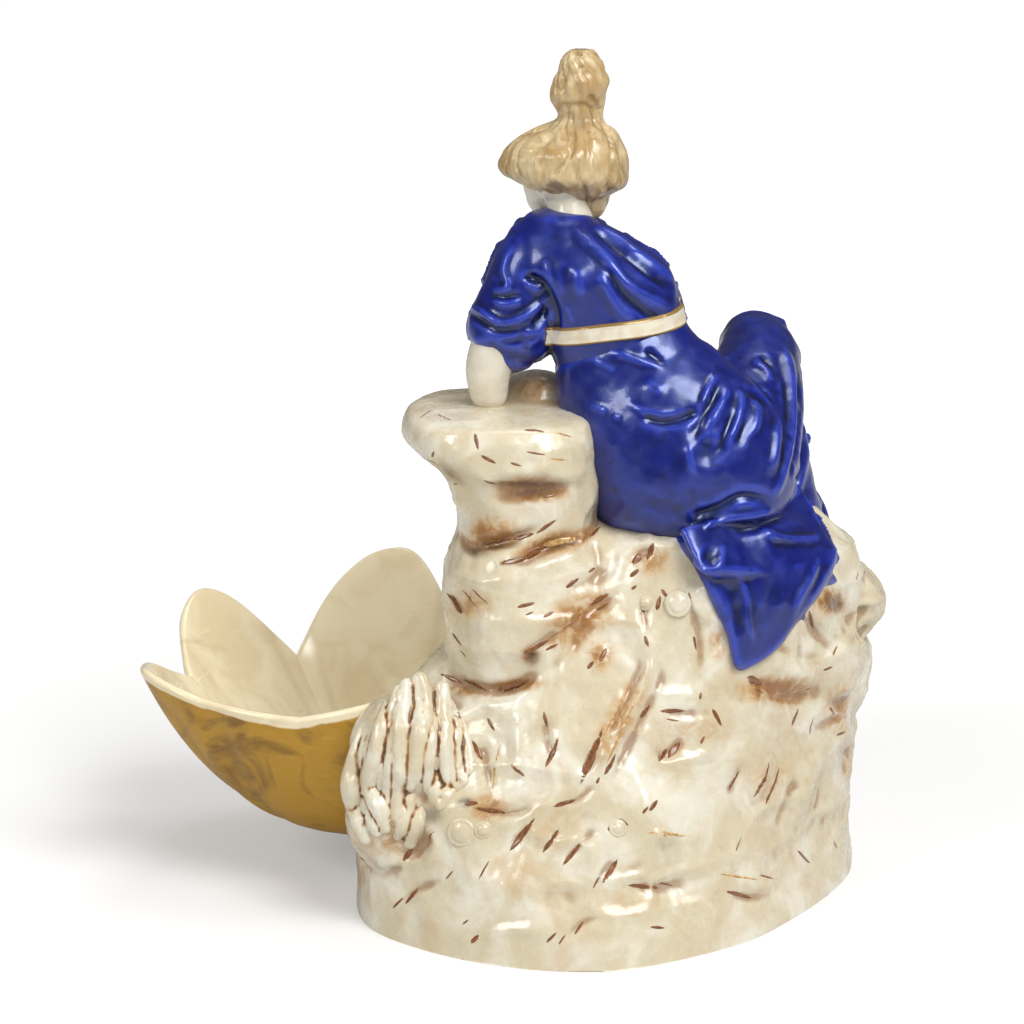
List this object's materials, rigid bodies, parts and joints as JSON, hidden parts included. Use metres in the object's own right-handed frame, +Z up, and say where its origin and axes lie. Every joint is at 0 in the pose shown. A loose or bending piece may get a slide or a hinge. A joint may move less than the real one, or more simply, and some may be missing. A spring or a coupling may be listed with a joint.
{
  "type": "porcelain centerpiece",
  "caption": "Hollow glazed porcelain centerpiece: a seated woman leans on a rock, above a lobed shell bowl that holds small things.",
  "frame": {"origin": "middle of the bounding box at the level of the foot", "axes": "+Z up out of the foot, +X to the right of the view in the picture, +Y away from that view, towards which the figure faces"},
  "size_m": [0.298, 0.2226, 0.33],
  "materials": {
    "glaze": "glossy glaze over ivory porcelain"
  },
  "bodies": {
    "root": {"centerpiece": "glaze"}
  },
  "joints": []
}
